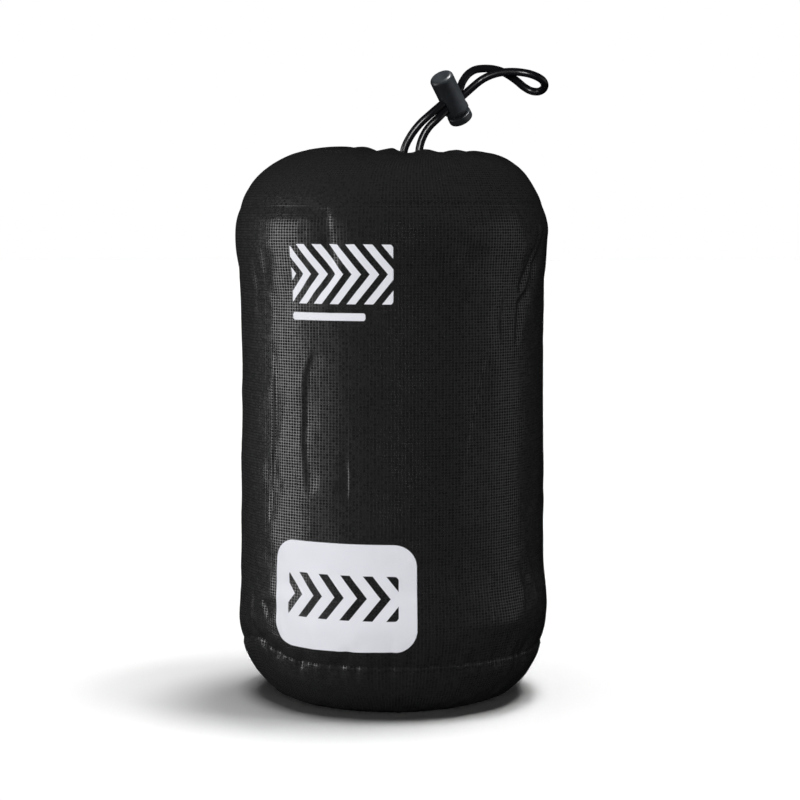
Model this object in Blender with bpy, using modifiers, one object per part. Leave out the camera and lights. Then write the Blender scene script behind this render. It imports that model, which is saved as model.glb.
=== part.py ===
"""A bicycle cover packed in its drawstring stuff sack.

The filled sack stands upright. Its front looks along -Y and its base rests on z = 0. Three cloth panels are sewn
together at two level seams: the base disc, the side panel and the top panel, which a drawcord gathers to a small
mouth. Both strands of the cord leave the mouth, pass through a sprung cord lock and join in a loop.
"""
import math

import bmesh
import bpy
import numpy as np
from mathutils import Matrix, Vector
from mathutils.geometry import interpolate_bezier, intersect_point_line

MM = 0.001
GAP = 0.3 * MM                     # clearance between neighbouring solids
CURVE_STEPS = 24                   # samples between two given points of a smooth curve

# Heights of the two seams, and the radius at which the cloth is sewn there.
BASE_SEAM_Z = 27.2 * MM
TOP_SEAM_Z = 244.0 * MM
SEAM_RADIUS = 75.0 * MM
REST_RADIUS = 46.0 * MM            # flat circle that the sack stands on

# Columns of faces around each panel.
SIDE_COLUMNS = 92
BASE_COLUMNS = 72
SIDE_ROW = 7.6 * MM                # height of one row of faces, along the outline
BASE_ROW = 5.6 * MM
TOP_ROW = 5.4 * MM
FRONT_DENSITY = 0.38               # share by which the side panel's columns close up towards the front

# Outlines from the axis outwards, as (radius, height) in millimetres.
BASE_OUTLINE = [
    (REST_RADIUS / MM, 0.0), (53.0, 1.9), (60.0, 5.4), (66.2, 10.4), (70.6, 15.8), (73.4, 21.0), (74.6, 24.6)]
SIDE_OUTLINE = [
    (75.0, 27.5), (76.0, 31.0), (77.1, 37.0), (77.5, 45.0), (77.0, 55.0), (76.0, 70.0), (75.6, 100.0),
    (75.4, 150.0), (75.3, 190.0), (75.5, 205.0), (76.4, 216.0), (77.5, 226.0), (77.6, 233.5), (76.7, 239.0),
    (75.2, 243.1)]
TOP_OUTLINE = [
    (74.8, 244.9), (73.4, 248.6), (71.2, 252.5), (68.6, 256.4), (65.1, 260.3), (60.2, 264.1), (53.6, 267.6),
    (45.5, 270.4), (38.5, 271.7), (32.0, 272.1)]

# The mouth: where it is gathered, and the cloth's outline around that point, out to in.
MOUTH_X = 9.5 * MM
MOUTH_Y = -4.1 * MM
MOUTH_FLOOR_Z = 262.0 * MM
MOUTH_OUTLINE = [
    (26.5, 271.2), (22.0, 269.9), (18.6, 269.6), (15.6, 270.4), (12.9, 271.3), (10.4, 270.9), (8.4, 268.6),
    (7.2, 265.4), (6.7, MOUTH_FLOOR_Z / MM)]

# Pleats of the gathered top: one crest each, and how deep the valley after it is, from the front to the right.
PLEAT_DEPTHS = [3.1, 1.7, 0.9, 1.3, 1.8, 1.1, 1.6, 2.0, 1.2, 1.5, 1.0, 1.6, 2.4]
FIRST_CREST = math.radians(-106.4)
PLEAT_PITCH = 2 * math.pi / len(PLEAT_DEPTHS)
PLEAT_COLUMNS = 7                  # columns of faces across one pleat
PLEAT_RADIUS = 24.0                # distance from the mouth, in mm, at which the pleats are deepest
PLEAT_REACH = 19.0                 # how far they fade inwards and outwards from there, in mm
VALLEY_WIDTH = 0.8                 # below 1 the valleys are wide and the crests between them narrow

# How the rim of the dome rises and falls around the axis, in mm.
DOME_LEFT_RISE = 1.3
DOME_FRONT_RISE = 0.9
DOME_OVAL_RISE = 0.6
DOME_RIM_RADIUS = 34.0
DOME_RIM_REACH = 22.0

# Long wavering of the filled cloth: waves around, waves up, depth in mm and phase.
LUMPS = [
    {"around": 1, "up": 1.0, "depth": 1.20, "phase": 0.0},
    {"around": 2, "up": 0.6, "depth": 0.45, "phase": 0.7},
    {"around": 3, "up": 1.3, "depth": 0.40, "phase": 2.1},
    {"around": 5, "up": 2.1, "depth": 0.35, "phase": 4.0}]

# Creases of the side panel. A path is (degrees from the front, height in mm), width and depth are in mm.
FOLDS = [
    {"path": [(-48, 170), (-47, 154), (-49, 134), (-52, 98), (-54, 72)], "width": 3.4, "depth": 1.3},
    {"path": [(-29.5, 172), (-32.3, 163), (-32.8, 149), (-31, 132), (-30.3, 116)], "width": 4.6, "depth": 2.3},
    {"path": [(-29.5, 243), (-29.5, 224)], "width": 4.5, "depth": 1.2},
    {"path": [(-16, 124), (-16, 110)], "width": 3.4, "depth": 0.8},
    {"path": [(70, 237), (62, 219), (55, 205), (47, 186)], "width": 4.2, "depth": 2.0},
    {"path": [(78, 228), (66, 207), (58, 190)], "width": 4.2, "depth": 1.5},
    {"path": [(27, 219), (33, 221), (39, 225)], "width": 3.6, "depth": 0.9},
    {"path": [(37, 166), (33, 148), (30, 131)], "width": 4.0, "depth": 1.3},
    {"path": [(40, 61), (40, 44)], "width": 4.0, "depth": 1.4},
    {"path": [(62, 78), (70, 60), (72, 44)], "width": 4.5, "depth": 1.5},
    {"path": [(-62, 58), (-62, 39)], "width": 3.6, "depth": 1.2},
    {"path": [(-78, 88), (-74, 62), (-75, 40)], "width": 4.5, "depth": 1.4},
    {"path": [(112, 236), (124, 204), (119, 172)], "width": 6.0, "depth": 2.0},
    {"path": [(165, 240), (158, 212), (163, 184)], "width": 6.5, "depth": 1.9},
    {"path": [(142, 132), (149, 104), (146, 76)], "width": 6.5, "depth": 1.8},
    {"path": [(-168, 150), (-161, 118), (-165, 88)], "width": 6.0, "depth": 1.8},
    {"path": [(-122, 232), (-131, 202), (-127, 166)], "width": 6.0, "depth": 2.1},
    {"path": [(-108, 118), (-114, 92), (-111, 66)], "width": 6.0, "depth": 1.7}]
FOLD_LIP = 0.35                    # height of a crease's two soft lips, as a share of its depth

# Gathers of the cloth on either side of the base seam.
GATHERS = 18
GATHER_DEPTH = 0.8                 # in mm
GATHER_REACH = 9.0                 # in mm, from the seam

# The cord lock. Its frame has Z along the barrel towards the closed end and X along the cord hole.
LOCK_CENTRE = Vector((30.0, 0.0, 296.8)) * MM
LOCK_LEAN = math.radians(27.6)     # how far the barrel leans to the left, seen from the front
LOCK_NOD = math.radians(30.0)      # how far its closed end comes towards the front
HOLE_TURN = math.radians(26.0)     # how far the cord hole turns from across the view towards the back
BARREL_RADIUS = 6.0 * MM
BARREL_TOP = 14.9 * MM             # closed end, from the cord hole's centre
BARREL_FOOT = -6.6 * MM            # open end
BORE_RADIUS = 4.3 * MM
BORE_TOP = 9.9 * MM
HOLE_WIDTH = 4.8 * MM
HOLE_LENGTH = 9.0 * MM
PLUNGER_RADIUS = BORE_RADIUS - GAP
PLUNGER_TOP = 8.0 * MM
PLUNGER_TRAVEL = 1.2 * MM
HEAD_GAP = 1.6 * MM                # between the barrel's open end and the plunger's head at rest
HEAD_HEIGHT = 4.1 * MM
HEAD_RADIUS = 6.1 * MM
ROUND_STEPS = 32

# The drawcord. Its route is in millimetres; the two stretches in the lock are worked out from the lock.
CORD_DIAMETER = 3.9 * MM
CORD_SPACING = 4.2 * MM            # distance between the points of the tube
STRAND_OFFSET = 2.12 * MM          # of each strand from the cord hole's centre, along the barrel
HOLE_RUN = 6.4 * MM                # how far each strand runs straight on either side of that centre
MOUTH_TO_LOCK = [
    (5.7, -4.2, MOUTH_FLOOR_Z / MM + 0.3), (5.7, -4.3, 267.5), (6.5, -4.7, 273.2), (9.7, -5.3, 279.5),
    (14.1, -5.6, 285.1), (18.9, -5.3, 289.5)]
LOOP = [
    (35.2, 3.2, 306.0), (37.7, 4.4, 309.6), (41.2, 5.7, 312.0), (45.4, 7.0, 312.8), (50.2, 8.2, 312.7),
    (54.8, 9.3, 311.6), (59.0, 10.4, 309.4), (62.7, 11.5, 306.9), (66.2, 12.4, 304.1), (69.8, 12.3, 302.1),
    (73.3, 10.6, 301.6), (75.6, 7.4, 302.7), (76.1, 3.7, 304.6), (74.8, 0.4, 306.6), (71.9, -1.8, 308.3),
    (68.2, -2.4, 309.6), (64.2, -1.8, 310.4), (60.0, -0.4, 310.8), (55.7, 1.2, 310.7), (51.5, 2.7, 310.0),
    (47.2, 3.9, 308.4), (43.0, 4.6, 305.8)]
LOCK_TO_MOUTH = [
    (22.7, -3.5, 287.6), (18.6, -3.9, 283.6), (15.7, -4.0, 279.0), (13.9, -4.0, 273.6), (13.4, -4.0, 267.5),
    (13.4, -4.0, MOUTH_FLOOR_Z / MM + 0.3)]

CLOTH_COLOUR = (0.012, 0.012, 0.013)
CORD_COLOUR = (0.009, 0.009, 0.010)
PLASTIC_COLOUR = (0.014, 0.014, 0.016)


def clear_scene():
    for thing in list(bpy.data.objects):
        bpy.data.objects.remove(thing, do_unlink=True)


def new_collection(name):
    collection = bpy.data.collections.new(name)
    bpy.context.scene.collection.children.link(collection)
    return collection


def new_material(name, colour, roughness):
    material = bpy.data.materials.new(name)
    material.use_nodes = True
    shader = material.node_tree.nodes["Principled BSDF"]
    shader.inputs["Base Color"].default_value = (*colour, 1.0)
    shader.inputs["Roughness"].default_value = roughness
    shader.inputs["Metallic"].default_value = 0.0
    return material


def new_object(name, data, collection, material=None):
    thing = bpy.data.objects.new(name, data)
    collection.objects.link(thing)
    if material:
        data.materials.append(material)
    return thing


def bell(distance, width):
    """A smooth hump: 1 at no distance, near 0 past twice the width."""
    return math.exp(-(distance / width) ** 2)


def smooth_points(points, steps):
    """Points along a smooth curve that passes through every given point."""
    points = [Vector(point) for point in points]
    tangents = [points[1] - points[0]]
    for before, after in zip(points, points[2:]):
        tangents.append((after - before) / 2)
    tangents.append(points[-1] - points[-2])
    curve = []
    for index in range(len(points) - 1):
        start, end = points[index], points[index + 1]
        run = interpolate_bezier(
            start, start + tangents[index] / 3, end - tangents[index + 1] / 3, end, steps + 1)
        curve.extend(run[:-1])
    curve.append(points[-1])
    return curve


def even_points(points, spacing):
    """The same curve with points an even distance apart."""
    curve = np.array([tuple(point) for point in smooth_points(points, CURVE_STEPS)])
    lengths = np.concatenate([[0.0], np.cumsum(np.linalg.norm(np.diff(curve, axis=0), axis=1))])
    count = max(2, round(lengths[-1] / spacing) + 1)
    stations = np.linspace(0.0, lengths[-1], count)
    return [Vector([np.interp(station, lengths, curve[:, axis]) for axis in range(3)]) for station in stations]


def resampled_outline(outline, spacing):
    """An outline of (radius, height) in mm as evenly spaced points in metres."""
    return even_points([Vector((radius, 0.0, height)) * MM for radius, height in outline], spacing)


def spun_mesh(name, outline, columns, place):
    """Spin an outline that starts and ends on the axis, then move each vertex to place(vertex)."""
    cloth = bmesh.new()
    points = [cloth.verts.new(point) for point in outline]
    edges = [cloth.edges.new(pair) for pair in zip(points, points[1:])]
    bmesh.ops.spin(
        cloth, geom=points + edges, cent=(0, 0, 0), axis=(0, 0, 1), angle=2 * math.pi, steps=columns,
        use_merge=True)
    bmesh.ops.remove_doubles(cloth, verts=cloth.verts, dist=0.001 * MM)
    for vertex in cloth.verts:
        vertex.co = place(vertex.co)
    bmesh.ops.recalc_face_normals(cloth, faces=cloth.faces)
    mesh = bpy.data.meshes.new(name)
    cloth.to_mesh(mesh)
    cloth.free()
    mesh.shade_smooth()
    mesh.set_sharp_from_angle(angle=math.radians(50))
    return mesh


def fold_distance(arc, height, path):
    """Distance on the cloth, in mm, from a point to a crease's path."""
    point = Vector((arc, height, 0.0))
    nearest = math.inf
    for start, end in zip(path, path[1:]):
        foot, share = intersect_point_line(point, start, end)
        if share < 0.0:
            foot = start
        elif share > 1.0:
            foot = end
        nearest = min(nearest, (point - foot).length)
    return nearest


def unrolled_folds():
    """Every crease with its path laid out flat, in mm along and up the cloth."""
    folds = []
    for fold in FOLDS:
        path = [Vector((math.radians(angle) * SEAM_RADIUS / MM, height, 0.0)) for angle, height in fold["path"]]
        folds.append({"path": path, "width": fold["width"], "depth": fold["depth"]})
    return folds


def side_relief(angle, height, folds):
    """How far, in mm, the side panel stands in or out at an angle from the front and a height in mm."""
    seam_low, seam_high = BASE_SEAM_Z / MM, TOP_SEAM_Z / MM
    rise = (height - seam_low) / (seam_high - seam_low)
    free = 4 * rise * (1 - rise)
    relief = 0.0
    for lump in LUMPS:
        wave = math.sin(lump["around"] * angle + lump["phase"]) * math.cos(math.pi * lump["up"] * rise)
        relief += free * lump["depth"] * wave
    arc = angle * SEAM_RADIUS / MM
    for fold in folds:
        distance = fold_distance(arc, height, fold["path"])
        lip = FOLD_LIP * bell(distance - 2.2 * fold["width"], fold["width"])
        relief += fold["depth"] * (lip - bell(distance, fold["width"]))
    return relief + gather_relief(angle, height)


def gather_relief(angle, height):
    """Small gathers that the base seam draws into the cloth above and below it."""
    distance = abs(height - BASE_SEAM_Z / MM)
    uneven = 0.65 + 0.35 * math.sin(3 * angle + 0.4)
    return -GATHER_DEPTH * uneven * bell(distance, GATHER_REACH) * (0.5 + 0.5 * math.cos(GATHERS * angle))


def front_angle(point):
    """Angle around the axis, 0 at the front and growing towards +X."""
    return math.atan2(point.x, -point.y)


def around(radius, angle, height):
    return Vector((radius * math.sin(angle), -radius * math.cos(angle), height))


def side_panel_mesh():
    folds = unrolled_folds()
    wall = resampled_outline(SIDE_OUTLINE, SIDE_ROW)
    low, high = BASE_SEAM_Z + GAP / 2, TOP_SEAM_Z - GAP / 2
    outline = [(0, 0, low), (SEAM_RADIUS, 0, low)] + wall[1:-1] + [(SEAM_RADIUS, 0, high), (0, 0, high)]

    def place(point):
        radius = math.hypot(point.x, point.y)
        if radius < GAP:
            return point
        angle = front_angle(point)
        angle -= FRONT_DENSITY * math.sin(angle)
        return around(radius + side_relief(angle, point.z / MM, folds) * MM, angle, point.z)

    return spun_mesh("side_panel", outline, SIDE_COLUMNS, place)


def base_panel_mesh():
    bowl = resampled_outline(BASE_OUTLINE, BASE_ROW)
    high = BASE_SEAM_Z - GAP / 2
    outline = [(0, 0, 0)] + bowl + [(SEAM_RADIUS, 0, high), (0, 0, high)]

    def place(point):
        radius = math.hypot(point.x, point.y)
        if radius < REST_RADIUS + GAP:
            return point
        angle = front_angle(point)
        return around(radius + gather_relief(angle, point.z / MM) * MM, angle, point.z)

    return spun_mesh("base_panel", outline, BASE_COLUMNS, place)


def dome_rise(angle, radius):
    """How much, in mm, the dome stands above or below its outline, strongest on its rim."""
    left = -DOME_LEFT_RISE * math.sin(angle)
    front = DOME_FRONT_RISE * math.cos(angle)
    oval = -DOME_OVAL_RISE * math.cos(2 * angle)
    return (left + front + oval) * bell(radius - DOME_RIM_RADIUS, DOME_RIM_REACH)


def pleat_drop(angle, distance):
    """Depth, in mm, of the pleat valley at an angle and a distance in mm from the mouth."""
    turns = ((angle - FIRST_CREST) / PLEAT_PITCH) % len(PLEAT_DEPTHS)
    index = int(turns)
    share = turns - index
    valley = (0.5 - 0.5 * math.cos(2 * math.pi * share)) ** VALLEY_WIDTH
    return PLEAT_DEPTHS[index] * valley * bell(distance - PLEAT_RADIUS, PLEAT_REACH)


def top_panel_mesh():
    dome = resampled_outline(TOP_OUTLINE, TOP_ROW)
    gathered = [Vector((radius, 0.0, height)) * MM for radius, height in MOUTH_OUTLINE]
    low = TOP_SEAM_Z + GAP / 2
    outline = [(0, 0, low), (SEAM_RADIUS, 0, low)] + dome + gathered + [(0, 0, MOUTH_FLOOR_Z)]
    mouth = Vector((MOUTH_X, MOUTH_Y, 0.0))
    inner_radius = MOUTH_OUTLINE[0][0] * MM
    pit_radius = MOUTH_OUTLINE[-1][0] * MM

    def place(point):
        radius = math.hypot(point.x, point.y)
        if point.z < low + GAP:
            return point
        share = min(1.0, (SEAM_RADIUS - radius) / (SEAM_RADIUS - inner_radius))
        centre = mouth * share * share * (3 - 2 * share)
        angle = front_angle(point)
        moved = around(radius, angle, point.z) + centre
        offset = moved - mouth
        distance = math.hypot(offset.x, offset.y) / MM
        if radius > pit_radius + GAP:
            drop = pleat_drop(math.atan2(offset.y, offset.x), distance)
            axis_distance = math.hypot(moved.x, moved.y) / MM
            moved.z += (dome_rise(front_angle(moved), axis_distance) - drop) * MM
        return moved

    return spun_mesh("top_panel", outline, PLEAT_COLUMNS * len(PLEAT_DEPTHS), place)


def lock_frame():
    """The cord lock's place: Z along the barrel, X along the cord hole."""
    across = Vector((math.cos(LOCK_LEAN), 0.0, math.sin(LOCK_LEAN)))
    upright = Vector((-math.sin(LOCK_LEAN), 0.0, math.cos(LOCK_LEAN)))
    barrel = upright * math.cos(LOCK_NOD) - Vector((0.0, math.sin(LOCK_NOD), 0.0))
    back = barrel.cross(across)
    hole = across * math.cos(HOLE_TURN) + back * math.sin(HOLE_TURN)
    turn = Matrix((hole, barrel.cross(hole), barrel)).transposed()
    return Matrix.Translation(LOCK_CENTRE) @ turn.to_4x4()


def turned_object(name, profile, frame, collection, material=None):
    """A turned piece from its outer profile, (radius, height) from the top down."""
    mesh = bpy.data.meshes.new(name)
    points = [(radius, 0.0, height) for radius, height in profile]
    mesh.from_pydata(points, [(index, index + 1) for index in range(len(points) - 1)], [])
    piece = new_object(name, mesh, collection, material)
    piece.matrix_world = frame
    screw = piece.modifiers.new("Turn", "SCREW")
    screw.steps = ROUND_STEPS
    screw.render_steps = ROUND_STEPS
    screw.use_merge_vertices = True
    screw.merge_threshold = 0.00001
    screw.use_smooth_shade = True
    return piece


def slot_cutter(name, centre_height, length, frame, collection):
    """A round-ended bar that cuts the cord hole; its length runs along the barrel."""
    bar = bmesh.new()
    bmesh.ops.create_cube(bar, size=1.0)
    bmesh.ops.scale(bar, vec=(4 * BARREL_RADIUS, HOLE_WIDTH, length), verts=bar.verts)
    bmesh.ops.translate(bar, vec=(0.0, 0.0, centre_height), verts=bar.verts)
    through = [edge for edge in bar.edges if abs(edge.verts[0].co.x - edge.verts[1].co.x) > BARREL_RADIUS]
    bmesh.ops.bevel(bar, geom=through, offset=0.48 * HOLE_WIDTH, segments=6, profile=0.5, affect="EDGES")
    mesh = bpy.data.meshes.new(name)
    bar.to_mesh(mesh)
    bar.free()
    return hidden_cutter(new_object(name, mesh, collection), frame)


def hidden_cutter(cutter, frame):
    cutter.matrix_world = frame
    cutter.hide_render = True
    cutter.display_type = "WIRE"
    return cutter


def cut(piece, cutter):
    boolean = piece.modifiers.new("Cut " + cutter.name, "BOOLEAN")
    boolean.operation = "DIFFERENCE"
    boolean.solver = "EXACT"
    boolean.object = cutter


def make_lock(parts, cutters, plastic):
    frame = lock_frame()
    barrel_profile = [
        (0.0, BARREL_TOP), (3.6 * MM, BARREL_TOP - 0.15 * MM), (4.9 * MM, BARREL_TOP - 0.7 * MM),
        (5.7 * MM, BARREL_TOP - 1.7 * MM), (BARREL_RADIUS, BARREL_TOP - 3.0 * MM),
        (BARREL_RADIUS, BARREL_FOOT + 2.2 * MM), (BARREL_RADIUS + 0.25 * MM, BARREL_FOOT + 1.8 * MM),
        (BARREL_RADIUS + 0.25 * MM, BARREL_FOOT + 0.5 * MM), (BARREL_RADIUS - 0.1 * MM, BARREL_FOOT),
        (0.0, BARREL_FOOT)]
    barrel = turned_object("lock_barrel", barrel_profile, frame, parts, plastic)
    bore_profile = [
        (0.0, BORE_TOP), (BORE_RADIUS, BORE_TOP), (BORE_RADIUS, BARREL_FOOT - 2 * MM), (0.0, BARREL_FOOT - 2 * MM)]
    bore = hidden_cutter(turned_object("bore_cutter", bore_profile, frame, cutters), frame)
    cut(barrel, bore)
    cut(barrel, slot_cutter("cord_hole_cutter", 0.0, HOLE_LENGTH, frame, cutters))

    head_top = BARREL_FOOT - HEAD_GAP
    head_foot = head_top - HEAD_HEIGHT
    plunger_profile = [
        (0.0, PLUNGER_TOP), (PLUNGER_RADIUS - 0.6 * MM, PLUNGER_TOP), (PLUNGER_RADIUS, PLUNGER_TOP - 0.6 * MM),
        (PLUNGER_RADIUS, head_top), (HEAD_RADIUS - 0.4 * MM, head_top), (HEAD_RADIUS, head_top - 0.4 * MM),
        (HEAD_RADIUS, head_foot + 1.3 * MM), (HEAD_RADIUS - 0.5 * MM, head_foot + 0.5 * MM),
        (HEAD_RADIUS - 1.5 * MM, head_foot), (0.0, head_foot)]
    plunger = turned_object("lock_plunger", plunger_profile, frame, parts, plastic)
    slot_length = HOLE_LENGTH + PLUNGER_TRAVEL
    cut(plunger, slot_cutter("plunger_slot_cutter", -PLUNGER_TRAVEL / 2, slot_length, frame, cutters))


def cord_route():
    """The drawcord's route in metres, from the mouth through the lock, round its loop and back."""
    frame = lock_frame()

    def through_hole(side, ends):
        return [frame @ Vector((end * HOLE_RUN, 0.0, side * STRAND_OFFSET)) for end in ends]

    route = [Vector(point) * MM for point in MOUTH_TO_LOCK]
    route += through_hole(1, (-1, 0, 1))
    route += [Vector(point) * MM for point in LOOP]
    route += through_hole(-1, (1, 0, -1))
    route += [Vector(point) * MM for point in LOCK_TO_MOUTH]
    return route


def make_drawcord(parts, material):
    points = even_points(cord_route(), CORD_SPACING)
    curve = bpy.data.curves.new("drawcord", "CURVE")
    curve.dimensions = "3D"
    curve.bevel_depth = CORD_DIAMETER / 2
    curve.bevel_resolution = 3
    curve.use_fill_caps = True
    spline = curve.splines.new("POLY")
    spline.points.add(len(points) - 1)
    for spline_point, point in zip(spline.points, points):
        spline_point.co = (*point, 1.0)
    new_object("drawcord", curve, parts, material)


def main():
    clear_scene()
    parts = new_collection("packed_bicycle_cover")
    cutters = new_collection("cutters")
    cloth = new_material("coated_ripstop", CLOTH_COLOUR, 0.55)
    sheath = new_material("elastic_cord", CORD_COLOUR, 0.6)
    plastic = new_material("moulded_plastic", PLASTIC_COLOUR, 0.4)
    new_object("base_panel", base_panel_mesh(), parts, cloth)
    new_object("side_panel", side_panel_mesh(), parts, cloth)
    new_object("top_panel", top_panel_mesh(), parts, cloth)
    make_drawcord(parts, sheath)
    make_lock(parts, cutters, plastic)


main()
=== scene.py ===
"""The looks of a packed bicycle cover: a filled drawstring stuff sack of black coated ripstop, its cord and its lock.

Places and sizes repeat the part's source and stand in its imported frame. Lengths are in metres, and values marked in
mm are turned to metres where they are used. The front looks along -Y, the base rests on z = 0, and an angle around
the axis is 0 at the front and grows towards +X.
"""
import math

import bmesh
import bpy
import numpy as np
from mathutils import Matrix, Vector
from mathutils.geometry import interpolate_bezier


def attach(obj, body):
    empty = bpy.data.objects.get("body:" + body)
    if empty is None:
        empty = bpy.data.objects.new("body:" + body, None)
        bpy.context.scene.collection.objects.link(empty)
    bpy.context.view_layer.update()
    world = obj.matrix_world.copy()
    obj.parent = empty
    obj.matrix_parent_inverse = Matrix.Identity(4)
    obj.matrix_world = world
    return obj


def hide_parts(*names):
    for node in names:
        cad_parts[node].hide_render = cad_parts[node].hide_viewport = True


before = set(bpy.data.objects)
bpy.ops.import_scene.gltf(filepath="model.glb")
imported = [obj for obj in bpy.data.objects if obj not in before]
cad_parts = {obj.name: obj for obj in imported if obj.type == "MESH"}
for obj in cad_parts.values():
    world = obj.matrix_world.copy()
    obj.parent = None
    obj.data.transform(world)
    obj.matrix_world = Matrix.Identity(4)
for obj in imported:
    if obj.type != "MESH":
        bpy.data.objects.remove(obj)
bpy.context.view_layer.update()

MM = 0.001
CURVE_STEPS = 24                   # samples between two given points of a smooth curve

# The camera stands where the photograph's did.
CAMERA_PLACE = (0.00415, -1.100, 0.244)
CAMERA_TILT = math.radians(84.99)
CAMERA_LENS = 99.0
CAMERA_SENSOR = 36.0

FLOOR_HALF = 9.0
PAPER = "#FDFDFD"
SOFTBOX_AIM = Vector((0.0, 0.0, 0.15))
SOFTBOX_DISTANCE = 0.9

# The sewn form, after the part's source. An outline is (radius, height) in mm. The base's cloth turns up a little
# more tightly than its solid.
GAP = 0.3 * MM
BASE_SEAM_Z = 27.2 * MM
TOP_SEAM_Z = 244.0 * MM
SEAM_RADIUS = 75.0 * MM
BASE_OUTLINE = [
    (50.5, 0.0), (56.3, 1.6), (62.2, 5.0), (67.6, 10.2), (71.4, 15.8), (73.8, 21.0), (74.8, 24.6), (75.0, 27.2)]
# The base swells less on its left: degrees from the front, width, distance from the seam, reach and depth in mm.
LEFT_TUCK = (-85.0, 45.0, 17.0, 9.0, 0.9)
UNDERSIDE_START = 4.0              # radius of the underside's first ring, in mm
UNDERSIDE_ROW = 6.0
FREE_FROM = 2.0                    # how far past the flat underside the cloth's relief sets in, in mm
FREE_OVER = 12.0                   # how far on it is full
SIDE_OUTLINE = [
    (75.0, 27.2), (76.0, 31.0), (77.1, 37.0), (77.5, 45.0), (77.0, 55.0), (76.0, 70.0), (75.6, 100.0),
    (75.4, 150.0), (75.3, 190.0), (75.5, 205.0), (76.4, 216.0), (77.5, 226.0), (77.6, 233.5), (76.7, 239.0),
    (75.0, 244.0)]
TOP_OUTLINE = [
    (75.0, 244.0), (73.4, 248.6), (71.2, 252.5), (68.6, 256.4), (65.1, 260.3), (60.2, 264.1), (53.6, 267.6),
    (45.5, 270.4), (38.5, 271.7), (32.0, 272.1), (26.5, 271.2), (22.0, 269.9), (18.6, 269.6), (15.6, 270.4),
    (12.9, 271.3), (10.4, 270.9), (8.4, 268.6), (7.2, 265.4), (6.7, 262.0)]
MOUTH_X = 9.5
MOUTH_Y = -4.1
MOUTH_INNER = 26.5                 # distance from the mouth, in mm, inside which the cloth is centred on it

# The gathered top, in mm: its pleats round the mouth and the dome's uneven rim.
PLEAT_DEPTHS = [3.1, 1.7, 0.9, 1.3, 1.8, 1.1, 1.6, 2.0, 1.2, 1.5, 1.0, 1.6, 2.4]
FIRST_CREST = math.radians(-106.4)
PLEAT_PITCH = 2 * math.pi / len(PLEAT_DEPTHS)
PLEAT_RADIUS = 24.0
PLEAT_REACH = 19.0
VALLEY_WIDTH = 0.8                 # power of a pleat's wave: under 1, so valleys are wider than crests
DOME_LEFT_RISE = 1.3
DOME_FRONT_RISE = 0.9
DOME_OVAL_RISE = 0.6
DOME_RIM_RADIUS = 34.0
DOME_RIM_REACH = 22.0
# The left shoulder is fuller: degrees from the front, width, distance from the axis, reach and rise in mm.
LEFT_SHOULDER = (-90.0, 40.0, 54.0, 14.0, 0.9)
FINE_PLEAT_DEPTH = 0.55            # fine pleats between the large ones, in mm
FINE_PLEAT_WAVES = (24, 58)
FINE_PLEAT_AT = (15.0, 15.0)       # distance from the mouth and reach, in mm
# The top crumples between its seam and its pleats: distance from the seam, reach and end in mm.
TOP_CRUMPLE = (30.0, 26.0)
TOP_CRUMPLE_END = 60.0

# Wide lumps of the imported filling: waves round the side, half waves up it, depth in mm and phase.
LUMPS = [(2, 0.6, 0.30, 0.7), (3, 1.3, 0.35, 2.1), (5, 2.1, 0.30, 4.0)]

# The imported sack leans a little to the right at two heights: height, reach and shift in mm.
SWAY = [(178.0, 42.0, 0.6), (50.0, 15.0, 0.9)]

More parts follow.
